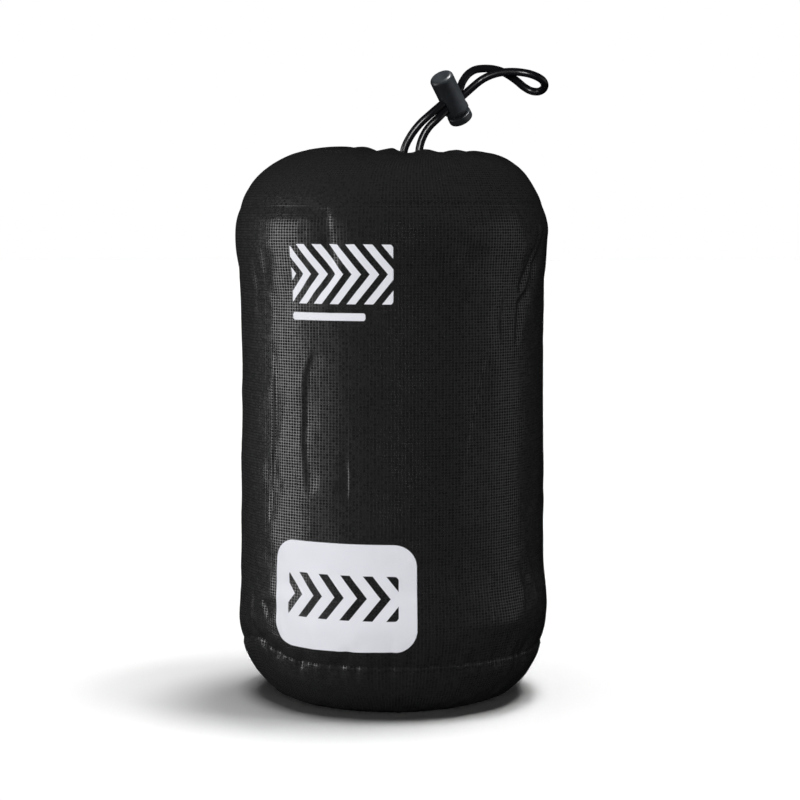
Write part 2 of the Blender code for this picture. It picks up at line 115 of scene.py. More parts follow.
# Creases of the side panel: path, wall, tail and depth. A path runs down the cloth as (degrees from the front, height
# in mm). The cloth drops by the depth across a steep wall on the path's left and comes back over a long tail on its
# right, all in mm. Where the tail is negative, the wall is on the right.
CREASES = [
    ([(-47.8, 174), (-48.0, 160), (-48.1, 147), (-48.4, 128), (-49.8, 108), (-51.0, 92)], 1.3, 12.0, 0.9),
    ([(-28.6, 176), (-29.8, 171), (-31.6, 165), (-32.3, 153), (-32.8, 134), (-31.6, 117), (-31.0, 108)],
     3.2, 11.0, 1.1),
    ([(-23.6, 243.9), (-23.2, 236), (-22.6, 228), (-22.0, 220), (-22.0, 212), (-23.4, 204)], 12.0, 4.0, 1.7),
    ([(-16.8, 128), (-16.0, 117), (-16.3, 107)], 1.6, -5.0, 0.6),
    ([(-39.0, 128), (-37.6, 112), (-38.4, 96)], 1.4, -7.0, 0.3),
    ([(-60.0, 222), (-59.0, 208), (-60.0, 190)], 1.8, 6.0, 0.3),
    ([(68, 240), (67, 231), (61, 220), (58.6, 214), (55.0, 208), (54, 203)], 2.2, 4.0, 1.2),
    ([(76, 236), (70, 226), (64.6, 217), (62.5, 210), (59, 203), (54, 198), (52.6, 188), (51.4, 178)],
     2.2, 6.0, 1.2),
    ([(24, 217.5), (28, 219), (32, 221.5), (37, 223)], 1.3, 5.0, 1.1),
    ([(37, 172), (35, 162), (31, 142), (28.5, 126)], 1.8, 9.0, 0.9),
    ([(45, 205), (42, 190), (43, 178)], 1.6, -5.0, 0.7),
    ([(39.0, 68), (38.6, 55), (38.8, 42)], 1.2, 9.0, 0.5),
    ([(56, 70), (58, 60), (57, 49)], 3.0, 7.0, 0.7),
    ([(61, 80), (68, 62), (71, 44)], 2.5, 8.0, 1.3),
    ([(-62.5, 62), (-62.9, 48), (-63.2, 35)], 1.6, 5.0, 0.6),
    ([(-55, 54), (-51, 44)], 1.4, 4.0, 0.5),
    ([(-79, 90), (-74.5, 64), (-75, 40)], 2.0, -8.0, 1.2),
    ([(-84, 216), (-76, 204), (-71, 186)], 1.6, -6.0, 0.9),
    ([(108, 240), (120, 214), (124, 200), (119, 170)], 3.5, 12.0, 1.9),
    ([(165, 241), (158, 214), (163, 182)], 4.0, -12.0, 1.8),
    ([(141, 134), (149, 104), (145, 74)], 3.5, 12.0, 1.7),
    ([(-168, 152), (-161, 118), (-165, 86)], 3.5, -11.0, 1.7),
    ([(-121, 236), (-131, 202), (-127, 164)], 3.5, 12.0, 1.9),
    ([(-107, 120), (-114, 92), (-110, 64)], 3.0, -10.0, 1.5),
    ([(88, 152), (95, 128), (93, 104)], 1.8, 7.0, 0.8),
    ([(128, 192), (136, 170), (133, 148)], 1.6, -7.0, 0.7),
    ([(-150, 94), (-143, 74), (-147, 50)], 1.6, 7.0, 0.7),
    ([(-99, 162), (-92, 142), (-95, 120)], 1.5, 6.0, 0.6)]

TAPER_END = 0.2                    # a tail's length at a crease's two ends, as a share of its full length

# Soft swells of the side panel: degrees from the front, height, reach across, reach up and rise in mm.
SWELLS = [(45.0, 46.0, 12.0, 9.0, 1.5)]

# Gathers, the groove and the puckers at the two seams, in mm.
GATHERS = 18
GATHER_DEPTH = 0.8
GATHER_REACH = 9.0
GROOVE_DEPTH = 0.2
GROOVE_WIDTH = 1.0
PUCKER_DEPTH = 0.4
PUCKER_REACH = 6.0
PUCKER_AT = 1.5                    # their distance from the seam
PUCKER_WAVES = (26, 62)
PUCKER_SWELL = 0.4                 # how far the cloth swells between them, as a share of their depth
TOP_SEAM_SHARE = 0.1               # relief of the top seam, as a share of the base seam's
TURNED_IN = 1.6                    # width of the cloth that is turned in at each seam
CRISP_SHARE = 0.12                 # place of the ring beside a turned edge, as a share of the first row
# The base seam climbs on the left, where the base panel was fed in unevenly: degrees from the front, width, distance
# from the seam, reach and rise in mm.
SEAM_CLIMB = (-62.0, 15.0, 0.0, 16.0, 7.0)
# Dents that the stitching pulls at the base seam: degrees from the front, half width in degrees and depth in mm.
DENTS = [
    (-57.0, 2.4, 1.8), (-47.5, 2.6, 1.9), (-35.5, 2.6, 1.8), (-20.0, 3.0, 1.2), (-13.0, 2.2, 0.6),
    (-1.5, 3.6, 0.8), (17.0, 3.0, 0.6), (31.0, 2.6, 0.9), (44.0, 3.0, 0.9), (58.0, 2.6, 1.3), (73.0, 3.0, 1.1),
    (-72.0, 3.0, 1.2)]
DENT_REACH = 3.6

# How deep handled nylon crumples, in mm: its soft swells, its sharp creases and what brings their mean back to 0.
CRUMPLE_SWELL = 0.16
CRUMPLE_CREASE = 0.22
CRUMPLE_MEAN = 0.17

# The cloth simulation that fills the sack: its grid, how much larger the cloth is cut than the seams hold, how hard
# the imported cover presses, and how far a point may move.
FILL_COLUMNS = 80
FILL_ROW = 6.0                     # in mm
FILL_EASE = 0.02
FILL_PRESSURE = 12.0
FILL_FRAMES = 20
FILL_REACH = 0.32 * MM

# Stitch rows on the cloth, as distances from the seam in mm, and the lockstitch's own sizes.
STITCH_PITCH = 3.0 * MM
STITCH_LENGTH = 2.3 * MM
THREAD_RADIUS = 0.13 * MM
STITCH_CROWN = 1.6                 # how far a stitch arches off the cloth, in thread radii
STITCH_SKEW = 0.07                 # how far a stitch may turn out of its row, in radians
STITCH_SEED = 7
STITCH_SIZES = {"Pitch": STITCH_PITCH, "Length": STITCH_LENGTH, "Thread Radius": THREAD_RADIUS}
TOPSTITCH_AT = 2.4
CASING_STITCH_AT = (37.0, 39.4)

# Fineness of the three cloth skins.
SIDE_COLUMNS = 484
SIDE_ROW = 1.2                     # in mm
FRONT_DENSITY = 0.6                # how much closer the columns stand at the front than at the back
BASE_COLUMNS = 400
BASE_ROW = 0.8
TOP_COLUMNS = 546
TOP_ROW = 0.75

# The weave: one grid cell across and up the cloth, and a heavier thread after every few cells.
CELL = (1.68 * MM, 1.36 * MM)
CELLS_PER_RIB = (3, 3)
CELL_HOLE = 0.43                   # radius of a cell's open middle, as a share of the cell
HOLE_EDGE = 0.06                   # softness of the opening's rim
LEAST_OPEN = 0.55                  # no two cells are pulled equally tight: the least share of a full opening
RIB_HALF = 0.05                    # half width of a rib, as a share of the square between ribs
GRID_RELIEF = 0.05 * MM
HOLE_SINK = 0.6                    # depth of the openings and height of the ribs, as shares of the relief
RIB_RISE = 0.5
MOTTLE_SIZE = 26.3 * MM            # patches of slightly lighter cloth
CRINKLE_SIZE = 6.25 * MM           # fine crinkles of the coat
CRINKLE_RELIEF = 0.15 * MM
CLOTH_DARK = "#242425"
CLOTH_LIGHT = "#292929"
# Colour of the cells' openings: painted shade, darker than the threads, for the light that the openings trap.
HOLE_PAINTED_SHADE = "#151516"
THREAD_ROUGHNESS = 0.21
RIB_ROUGHNESS = 0.18
INK = "#F0F1F8"
INK_ROUGHNESS = 0.55
INK_FILLING = 0.7                  # share of the weave's relief that the ink fills

# The plain marks, in mm across the cloth from the front and up from the floor.
PATCH_CENTRE = (-24.5, 60.0)
PATCH_HALF = (36.5, 25.5)
PATCH_CORNER = 11.0
WINDOW_HALF = (28.0, 10.5)
WINDOW_CORNER = 2.0
DARK_CHEVRONS = (11.0, 0.42)       # pitch in mm, and width as a share of it
FLASH_CENTRE = (-24.5, 212.5)
FLASH_HALF = (25.5, 14.0)
FLASH_CORNER = 1.5
BRIGHT_CHEVRONS = (8.4, 0.52)
BAR_CENTRE = (-31.0, 192.5)
BAR_HALF = (19.0, 1.8)
BAR_CORNER = 1.2
CHEVRON_SLOPE = 0.8
CHEVRON_EDGE = 0.015               # softness of a chevron's edge, as a share of the pitch
EDGE = 0.15                        # softness of any other ink edge

# The cord lock, repeated from the part's source.
LOCK_CENTRE = Vector((30.0, 0.0, 296.8)) * MM
LOCK_LEAN = math.radians(27.6)
LOCK_NOD = math.radians(30.0)
HOLE_TURN = math.radians(26.0)
BARREL_RADIUS = 6.0 * MM
BARREL_TOP = 14.9 * MM
BARREL_FOOT = -6.6 * MM
BORE_RADIUS = 4.3 * MM
BORE_TOP = 9.9 * MM
HOLE_WIDTH = 4.8 * MM
HOLE_LENGTH = 9.0 * MM
HOLE_ROUND = 0.48 * HOLE_WIDTH     # just under half, so that no two edges fall together
PLUNGER_RADIUS = BORE_RADIUS - GAP
PLUNGER_TOP = 8.0 * MM
PLUNGER_TRAVEL = 1.2 * MM
HEAD_GAP = 1.6 * MM
HEAD_HEIGHT = 4.1 * MM
HEAD_RADIUS = 6.1 * MM
TURN_STEPS = 96
EDGE_ROUND = 0.22 * MM
ROUNDED_FROM = math.radians(40)    # edges that turn more than this are rounded
SHARP_FROM = math.radians(38)      # edges that turn more than this are shaded sharp
RIM_ROUND = 1.9 * MM               # the barrel's closed end
COLLAR = 0.25 * MM                 # how far the barrel's collar stands out at its open end
FOOT_ROUND = 1.2 * MM              # the head's outer end
LEAD_IN = 0.6 * MM                 # slanting end of the plunger inside the bore

# The drawcord, repeated from the part's source. The points of its route are in mm.
CORD_DIAMETER = 3.9 * MM
STRAND_OFFSET = 2.12 * MM
HOLE_RUN = 6.4 * MM
MOUTH_TO_LOCK = [
    (5.7, -4.2, 262.3), (5.7, -4.3, 267.5), (6.5, -4.7, 273.2), (9.7, -5.3, 279.5), (14.1, -5.6, 285.1),
    (18.9, -5.3, 289.5)]
LOOP = [
    (35.2, 3.2, 306.0), (37.7, 4.4, 309.6), (41.2, 5.7, 312.0), (45.4, 7.0, 312.8), (50.2, 8.2, 312.7),
    (54.8, 9.3, 311.6), (59.0, 10.4, 309.4), (62.7, 11.5, 306.9), (66.2, 12.4, 304.1), (69.8, 12.3, 302.1),
    (73.3, 10.6, 301.6), (75.6, 7.4, 302.7), (76.1, 3.7, 304.6), (74.8, 0.4, 306.6), (71.9, -1.8, 308.3),
    (68.2, -2.4, 309.6), (64.2, -1.8, 310.4), (60.0, -0.4, 310.8), (55.7, 1.2, 310.7), (51.5, 2.7, 310.0),
    (47.2, 3.9, 308.4), (43.0, 4.6, 305.8)]
LOCK_TO_MOUTH = [
    (22.7, -3.5, 287.6), (18.6, -3.9, 283.6), (15.7, -4.0, 279.0), (13.9, -4.0, 273.6), (13.4, -4.0, 267.5),
    (13.4, -4.0, 262.3)]
CORD_RING = 0.36 * MM              # distance between the rings of the tube
CORD_SIDES = 48
BRAID_STRANDS = 12                 # strands of the braid that run each way round the cord
BRAID_LAY = 8.5 * MM               # length in which a strand goes once round
BRAID_RELIEF = 0.045 * MM
BRAID_MEAN = 0.6                   # share of the relief that is taken off, so that the cord keeps its diameter


# ---------------------------------------------------------------- small helpers

def linear(code):
    """An sRGB hex colour as the linear values that a shader takes."""
    shares = [int(code[start:start + 2], 16) / 255 for start in (1, 3, 5)]
    colour = [share / 12.92 if share <= 0.04045 else ((share + 0.055) / 1.055) ** 2.4 for share in shares]
    return (*colour, 1.0)


def feed(node, inputs):
    """Give inputs of a node a value each, an output, or the first output of another node."""
    for socket, value in dict(inputs).items():
        if isinstance(value, bpy.types.Node):
            value = next(output for output in value.outputs if output.enabled)
        if isinstance(value, bpy.types.NodeSocket):
            node.id_data.links.new(value, node.inputs[socket])
        else:
            node.inputs[socket].default_value = value


def add(tree, kind, inputs=(), **settings):
    """Add a node with its own settings and what its inputs take."""
    node = tree.nodes.new(kind)
    for name, value in settings.items():
        setattr(node, name, value)
    feed(node, inputs)
    return node


def new_material(name):
    material = bpy.data.materials.new(name)
    material.use_nodes = True
    return material, material.node_tree, material.node_tree.nodes["Principled BSDF"]


def new_object(name, data, *materials):
    made = bpy.data.objects.new(name, data)
    bpy.context.scene.collection.objects.link(made)
    for material in materials:
        data.materials.append(material)
    return made


def bake(piece):
    """Make what a piece's modifiers give its plain mesh."""
    drawn = piece.data
    piece.data = bpy.data.meshes.new_from_object(piece.evaluated_get(bpy.context.evaluated_depsgraph_get()))
    piece.modifiers.clear()
    bpy.data.meshes.remove(drawn)
    piece.data.shade_smooth()
    return piece.data


def bell(distance, width):
    return np.exp(-(distance / width) ** 2)


def ease(share):
    """A share from 0 to 1 that sets off and arrives gently."""
    return share * share * (3 - 2 * share)


def lengths_along(points):
    """The length of a line from its first point to each of its points."""
    return np.concatenate([[0.0], np.cumsum(np.linalg.norm(np.diff(points, axis=0), axis=1))])


def outwards(points):
    """The level direction away from the axis at each point."""
    out = points * (1.0, 1.0, 0.0)
    return out / np.linalg.norm(out, axis=-1, keepdims=True)


def smooth_points(points):
    """Points along a smooth curve that passes through every given point."""
    points = [Vector(point) for point in points]
    tangents = [points[1] - points[0]]
    for before, after in zip(points, points[2:]):
        tangents.append((after - before) / 2)
    tangents.append(points[-1] - points[-2])
    curve = []
    for index in range(len(points) - 1):
        start, end = points[index], points[index + 1]
        run = interpolate_bezier(
            start, start + tangents[index] / 3, end - tangents[index + 1] / 3, end, CURVE_STEPS + 1)
        curve.extend(run[:-1])
    curve.append(points[-1])
    return np.array([tuple(point) for point in curve])


def even_points(points, spacing):
    """The same curve with points an even distance apart."""
    curve = smooth_points(points)
    lengths = lengths_along(curve)
    stations = np.linspace(0.0, lengths[-1], max(2, round(lengths[-1] / spacing) + 1))
    return np.stack([np.interp(stations, lengths, curve[:, axis]) for axis in range(3)], axis=1)


def outline_rows(outline, spacing):
    """An outline in mm as radii, heights and lengths along it, one per row, in mm."""
    points = even_points([(radius, 0.0, height) for radius, height in outline], spacing)
    return points[:, 0], points[:, 2], lengths_along(points)


def ripple(angle, along, seed, around, up, terms=14):
    """A smooth uneven field of waves. around and up are the (least, most) waves round the axis and per metre."""
    draw = np.random.default_rng(seed)
    field = np.zeros(np.broadcast(angle, along).shape)
    for _ in range(terms):
        turns = draw.integers(around[0], around[1] + 1) * draw.choice([-1, 1])
        rate = draw.uniform(*up) * 2 * math.pi * MM
        field += np.cos(turns * angle + rate * along + draw.uniform(0, 2 * math.pi))
    return field / math.sqrt(terms)


def along_path(across, up, path):
    """Signed distance on the cloth to a crease's path, in mm, positive on its right, and the share of it passed."""
    nearest = np.full(np.broadcast(across, up).shape, np.inf)
    side = np.ones(nearest.shape)
    passed = np.zeros(nearest.shape)
    for index, ((start_x, start_y), (end_x, end_y)) in enumerate(zip(path, path[1:])):
        run_x, run_y = end_x - start_x, end_y - start_y
        share = ((across - start_x) * run_x + (up - start_y) * run_y) / (run_x ** 2 + run_y ** 2)
        share = np.clip(share, 0.0, 1.0)
        away_x, away_y = across - start_x - share * run_x, up - start_y - share * run_y
        distance = np.hypot(away_x, away_y)
        closer = distance < nearest
        nearest = np.where(closer, distance, nearest)
        side = np.where(closer, np.sign(run_x * away_y - run_y * away_x), side)
        passed = np.where(closer, (index + share) / (len(path) - 1), passed)
    return nearest * side, passed


def crease_relief(across, up, path, wall, tail, depth):
    """A crease's relief in mm: down a steep wall and back up a long tail, fading and tapering at both ends."""
    path = [(math.radians(degrees) * SEAM_RADIUS / MM, height) for degrees, height in path]
    distance, passed = along_path(across, up, path)
    distance = distance * math.copysign(1.0, tail)
    fade = np.sin(math.pi * passed)
    fall = ease(np.clip(1 + distance / wall, 0.0, 1.0))
    back = bell(distance, abs(tail) * (TAPER_END + (1 - TAPER_END) * fade ** 0.7))
    return -depth * np.where(distance < 0, fall, back) * fade ** 0.5


# ---------------------------------------------------------------- camera, floor and lights

def make_camera():
    data = bpy.data.cameras.new("camera")
    data.lens = CAMERA_LENS
    data.sensor_width = CAMERA_SENSOR
    camera = new_object("camera", data)
    camera.location = CAMERA_PLACE
    camera.rotation_euler = (CAMERA_TILT, 0.0, 0.0)
    bpy.context.scene.camera = camera


def towards(azimuth, elevation):
    """The direction of a light, in degrees from the front towards +X and above the floor."""
    angle, rise = math.radians(azimuth), math.radians(elevation)
    return Vector((math.sin(angle) * math.cos(rise), -math.cos(angle) * math.cos(rise), math.sin(rise)))


def make_softbox(name, azimuth, elevation, size, power, lit):
    """A rectangular softbox that looks at the middle of the sack and is screened off from all but the lit pieces."""
    data = bpy.data.lights.new(name, "AREA")
    data.shape = "RECTANGLE"
    data.size, data.size_y = size
    data.energy = power
    light = new_object(name, data)
    back = towards(azimuth, elevation)
    light.location = SOFTBOX_AIM + back * SOFTBOX_DISTANCE
    light.rotation_euler = back.to_track_quat("Z", "Y").to_euler()
    light.light_linking.receiver_collection = lit


def make_far_light(name, azimuth, elevation, spread, strength, lit=None):
    """A distant soft light for the paper and the cloth's own colour, which isn't seen in gloss."""
    data = bpy.data.lights.new(name, "SUN")
    data.energy = strength
    data.angle = math.radians(spread)
    light = new_object(name, data)
    light.rotation_euler = towards(azimuth, elevation).to_track_quat("Z", "Y").to_euler()
    light.visible_glossy = False
    if lit:
        light.light_linking.receiver_collection = lit


def make_softboxes(pieces, cord, lock_pieces):
    """The lights on the pieces alone.

    They are a fill for the black, strips that the gloss shows, and a small card each for the cord and its lock.
    """
    lit = []
    for name, members in (("all_pieces", pieces), ("cord_alone", [cord]), ("lock_alone", lock_pieces)):
        lit.append(bpy.data.collections.new(name))
        for piece in members:
            lit[-1].objects.link(piece)
    whole, braid, lock = lit
    make_far_light("front_fill", 4, 3, 30, 3.4, whole)
    make_softbox("left_strip", -81.5, 3, (0.45, 0.62), 4.1, whole)
    make_softbox("left_fade", -54, 3, (0.40, 0.62), 0.62, whole)
    make_softbox("right_panel", 91, 3, (0.50, 0.62), 0.40, whole)
    make_softbox("right_fade", 66, 3, (0.36, 0.62), 0.12, whole)
    make_softbox("cord_card", -12, 16, (0.26, 0.26), 4.5, braid)
    make_softbox("lock_card", 50, 68, (0.18, 0.18), 16.0, lock)


def make_stage():
    mesh = bpy.data.meshes.new("floor")
    corners = [(FLOOR_HALF * x, FLOOR_HALF * y, 0.0) for x, y in ((-1, -1), (1, -1), (1, 1), (-1, 1))]
    mesh.from_pydata(corners, [], [(0, 1, 2, 3)])
    paper, _, shader = new_material("white_paper")
    feed(shader, {"Base Color": linear(PAPER), "Roughness": 1.0, "Specular IOR Level": 0.0})
    floor = new_object("floor", mesh, paper)
    floor.visible_glossy = floor.visible_diffuse = False
    paper_alone = bpy.data.collections.new("paper_alone")
    paper_alone.objects.link(floor)

    make_far_light("overhead_back", 130, 80, 12, 1.29)
    make_far_light("overhead_right", 85, 70, 14, 0.72)
    make_far_light("canopy", 0, 88, 40, 1.44, paper_alone)
    make_far_light("front", 4, 14, 30, 0.3, paper_alone)

    world = bpy.data.worlds.new("studio")
    world.use_nodes = True
    bpy.context.scene.world = world
    # The air behind the object is white to the camera alone and lights nothing.
    seen = add(world.node_tree, "ShaderNodeLightPath")
    feed(world.node_tree.nodes["Background"], {
        "Color": (1.0, 1.0, 1.0, 1.0), "Strength": seen.outputs["Is Camera Ray"]})
    bpy.context.scene.view_settings.view_transform = "Standard"


# ---------------------------------------------------------------- materials

def weave(tree):
    """The cloth's own place in metres, its open cells and its heavier rib threads.

    Real threads are about 0.2 mm apart, too fine to show from here. The grid is drawn as coarse as the eye sees it.
    """
    cloth = add(tree, "ShaderNodeUVMap", uv_map="cloth")
    cells = add(tree, "ShaderNodeVectorMath", {0: cloth, 1: (*CELL, 1.0)}, operation="DIVIDE")
    part = add(tree, "ShaderNodeVectorMath", {0: cells}, operation="FRACTION")
    from_middle = add(tree, "ShaderNodeVectorMath", {0: part, 1: (0.5, 0.5, 0.0)}, operation="SUBTRACT")
    reach = add(tree, "ShaderNodeVectorMath", {0: from_middle}, operation="LENGTH")
    hole = add(tree, "ShaderNodeMapRange", {
        "Value": reach, "From Min": CELL_HOLE + HOLE_EDGE, "From Max": CELL_HOLE - HOLE_EDGE},
        interpolation_type="SMOOTHSTEP")
    cell = add(tree, "ShaderNodeVectorMath", {0: cells}, operation="FLOOR")
    chance = add(tree, "ShaderNodeTexWhiteNoise", {"Vector": cell}, noise_dimensions="2D")
    openness = add(tree, "ShaderNodeMapRange", {"Value": chance.outputs["Value"], "To Min": LEAST_OPEN})
    hole = add(tree, "ShaderNodeMath", {0: hole, 1: openness}, operation="MULTIPLY")
    squares = add(tree, "ShaderNodeVectorMath", {0: cells, 1: (*CELLS_PER_RIB, 1.0)}, operation="DIVIDE")
    square = add(tree, "ShaderNodeVectorMath", {0: squares}, operation="FRACTION")
    centred = add(tree, "ShaderNodeVectorMath", {0: square, 1: (0.5, 0.5, 0.5)}, operation="SUBTRACT")
    size = add(tree, "ShaderNodeVectorMath", {0: centred}, operation="ABSOLUTE")
    sides = add(tree, "ShaderNodeSeparateXYZ", {0: size})
    nearest = add(tree, "ShaderNodeMath", {0: sides.outputs["X"], 1: sides.outputs["Y"]}, operation="MAXIMUM")
    rib = add(tree, "ShaderNodeMapRange", {
        "Value": nearest, "From Min": 0.5 - RIB_HALF, "From Max": 0.5 - RIB_HALF / 4},
        interpolation_type="SMOOTHSTEP")
    return cloth, hole, rib


def coated_ripstop(name, ink=None):
    """Nylon ripstop, woven and then coated with polyurethane.

    The smooth coat follows every thread, so the grid shines where a light grazes it and is flat black elsewhere.
    """
    material, tree, shader = new_material(name)
    cloth, hole, rib = weave(tree)
    where = add(tree, "ShaderNodeTexCoord").outputs["Object"]
    mottle = add(tree, "ShaderNodeTexNoise", {"Vector": where, "Scale": 1 / MOTTLE_SIZE, "Detail": 3.0})
    crinkle = add(tree, "ShaderNodeTexNoise", {"Vector": where, "Scale": 1 / CRINKLE_SIZE, "Detail": 4.0})
    thread = add(tree, "ShaderNodeMix", {
        0: mottle, 6: linear(CLOTH_DARK), 7: linear(CLOTH_LIGHT)}, data_type="RGBA")
    # The openings take a darker colour, which is painted shade; their sinking and dull gloss come from the bump and
    # roughness.
    tone = add(tree, "ShaderNodeMix", {0: hole, 6: thread, 7: linear(HOLE_PAINTED_SHADE)}, data_type="RGBA")
    gloss = add(tree, "ShaderNodeMix", {0: hole, 2: THREAD_ROUGHNESS, 3: 1.0}, data_type="FLOAT")
    gloss = add(tree, "ShaderNodeMix", {0: rib, 2: gloss, 3: RIB_ROUGHNESS}, data_type="FLOAT")
    sunk = add(tree, "ShaderNodeMath", {0: hole, 1: -HOLE_SINK}, operation="MULTIPLY")
    height = add(tree, "ShaderNodeMath", {0: rib, 1: RIB_RISE, 2: sunk}, operation="MULTIPLY_ADD")
    if ink:
        mask = ink(tree, cloth)
        filled = add(tree, "ShaderNodeMath", {0: height, 1: 1 - INK_FILLING}, operation="MULTIPLY")
        tone = add(tree, "ShaderNodeMix", {0: mask, 6: tone, 7: linear(INK)}, data_type="RGBA")
        gloss = add(tree, "ShaderNodeMix", {0: mask, 2: gloss, 3: INK_ROUGHNESS}, data_type="FLOAT")
        height = add(tree, "ShaderNodeMix", {0: mask, 2: height, 3: filled}, data_type="FLOAT")
    grid = add(tree, "ShaderNodeBump", {"Height": height, "Distance": GRID_RELIEF, "Strength": 0.7})
    soft = add(tree, "ShaderNodeBump", {
        "Height": crinkle, "Distance": CRINKLE_RELIEF, "Strength": 0.3, "Normal": grid})
    feed(shader, {"Base Color": tone, "Roughness": gloss, "Normal": soft, "IOR": 1.5})
    return material


def rounded_box(tree, cloth, centre, half, corner):
    """1 inside a rounded rectangle that lies on the cloth, 0 outside. Its sizes are in mm."""
    middle = (centre[0] * MM, centre[1] * MM, 0.0)
    straight = ((half[0] - corner) * MM, (half[1] - corner) * MM, 0.0)
    offset = add(tree, "ShaderNodeVectorMath", {0: cloth, 1: middle}, operation="SUBTRACT")
    size = add(tree, "ShaderNodeVectorMath", {0: offset}, operation="ABSOLUTE")
    over = add(tree, "ShaderNodeVectorMath", {0: size, 1: straight}, operation="SUBTRACT")
    outside = add(tree, "ShaderNodeVectorMath", {0: over, 1: (0.0, 0.0, 0.0)}, operation="MAXIMUM")
    distance = add(tree, "ShaderNodeVectorMath", {0: outside}, operation="LENGTH")
    return add(tree, "ShaderNodeMapRange", {
        "Value": distance, "From Min": (corner + EDGE) * MM, "From Max": (corner - EDGE) * MM},
        interpolation_type="SMOOTHSTEP")


def chevrons(tree, cloth, centre, pitch, share):
    """1 on evenly spaced chevrons that point to the right, 0 between them. The pitch is in mm."""
    middle = (centre[0] * MM, centre[1] * MM, 0.0)
    offset = add(tree, "ShaderNodeVectorMath", {0: cloth, 1: middle}, operation="SUBTRACT")
    place = add(tree, "ShaderNodeSeparateXYZ", {0: offset})
    fold = add(tree, "ShaderNodeMath", {0: place.outputs["Y"]}, operation="ABSOLUTE")
    lean = add(tree, "ShaderNodeMath", {
        0: fold, 1: CHEVRON_SLOPE, 2: place.outputs["X"]}, operation="MULTIPLY_ADD")
    turns = add(tree, "ShaderNodeMath", {0: lean, 1: pitch * MM}, operation="DIVIDE")
    stripe = add(tree, "ShaderNodeMath", {0: turns, 1: 0.5}, operation="PINGPONG")
    return add(tree, "ShaderNodeMapRange", {
        "Value": stripe, "From Min": share / 2 + CHEVRON_EDGE, "From Max": share / 2 - CHEVRON_EDGE},
        interpolation_type="SMOOTHSTEP")


def plain_marks(tree, cloth):
    """Ink of the plain marks: a patch with dark chevrons low on the front, and bright chevrons over a thin bar."""
    patch = rounded_box(tree, cloth, PATCH_CENTRE, PATCH_HALF, PATCH_CORNER)
    window = rounded_box(tree, cloth, PATCH_CENTRE, WINDOW_HALF, WINDOW_CORNER)
    dark = chevrons(tree, cloth, PATCH_CENTRE, *DARK_CHEVRONS)
    cut = add(tree, "ShaderNodeMath", {0: window, 1: dark}, operation="MULTIPLY")
    patch = add(tree, "ShaderNodeMath", {0: patch, 1: cut}, operation="SUBTRACT")
    field = rounded_box(tree, cloth, FLASH_CENTRE, FLASH_HALF, FLASH_CORNER)
    bright = chevrons(tree, cloth, FLASH_CENTRE, *BRIGHT_CHEVRONS)
    flash = add(tree, "ShaderNodeMath", {0: field, 1: bright}, operation="MULTIPLY")
    bar = rounded_box(tree, cloth, BAR_CENTRE, BAR_HALF, BAR_CORNER)
    upper = add(tree, "ShaderNodeMath", {0: flash, 1: bar}, operation="MAXIMUM")
    return add(tree, "ShaderNodeMath", {0: patch, 1: upper}, operation="MAXIMUM")


def braided_elastic():
    """Black polyester braid over a stretched rubber core.

    Its filaments are smooth and lie tight, so it shines in a thin line along its top. The fibre ends are drawn about
    0.4 mm apart, four times as coarse as real ones, to show at all.
    """
    material, tree, shader = new_material("braided_elastic_cord")
    where = add(tree, "ShaderNodeTexCoord").outputs["Object"]
    fuzz = add(tree, "ShaderNodeTexNoise", {"Vector": where, "Scale": 1 / (0.385 * MM), "Detail": 2.0})
    tone = add(tree, "ShaderNodeMix", {0: fuzz, 6: linear("#08080A"), 7: linear("#0E0E11")}, data_type="RGBA")
    bump = add(tree, "ShaderNodeBump", {"Height": fuzz, "Distance": 0.05 * MM, "Strength": 0.15})
    feed(shader, {"Base Color": tone, "Normal": bump, "Roughness": 0.27, "IOR": 1.55})
    return material


def moulded_acetal():
    """Black acetal, injected into a spark-eroded mould.

    Its face is an even satin with a fine grain, drawn at 0.46 mm where the real one is near 0.1 mm, and a little
    rubbed in patches of 4 mm.
    """
    material, tree, shader = new_material("moulded_acetal")
    where = add(tree, "ShaderNodeTexCoord").outputs["Object"]
    grain = add(tree, "ShaderNodeTexNoise", {"Vector": where, "Scale": 1 / (0.455 * MM), "Detail": 2.0})
    rubbed = add(tree, "ShaderNodeTexNoise", {"Vector": where, "Scale": 1 / (4.17 * MM), "Detail": 3.0})
    tone = add(tree, "ShaderNodeMix", {0: rubbed, 6: linear("#1A1C1E"), 7: linear("#212427")}, data_type="RGBA")
    satin = add(tree, "ShaderNodeMapRange", {
        "Value": rubbed, "From Min": 0.3, "From Max": 0.7, "To Min": 0.36, "To Max": 0.46})
    bump = add(tree, "ShaderNodeBump", {"Height": grain, "Distance": 0.03 * MM, "Strength": 0.5})
    feed(shader, {"Base Color": tone, "Roughness": satin, "Normal": bump, "IOR": 1.48})
    return material


def bonded_thread():
    """Black nylon sewing thread, twisted and bonded: round, tight, and duller than the coat that it is sewn through.

    The twist shows as slightly lighter specks, about 0.3 mm apart.
    """
    material, tree, shader = new_material("bonded_nylon_thread")
    where = add(tree, "ShaderNodeTexCoord").outputs["Object"]
    twist = add(tree, "ShaderNodeTexNoise", {"Vector": where, "Scale": 1 / (0.333 * MM)})
    tone = add(tree, "ShaderNodeMix", {0: twist, 6: linear("#0F0F10"), 7: linear("#18181A")}, data_type="RGBA")
    feed(shader, {"Base Color": tone, "Roughness": 0.6, "IOR": 1.53})
    return material


# ---------------------------------------------------------------- drawcord

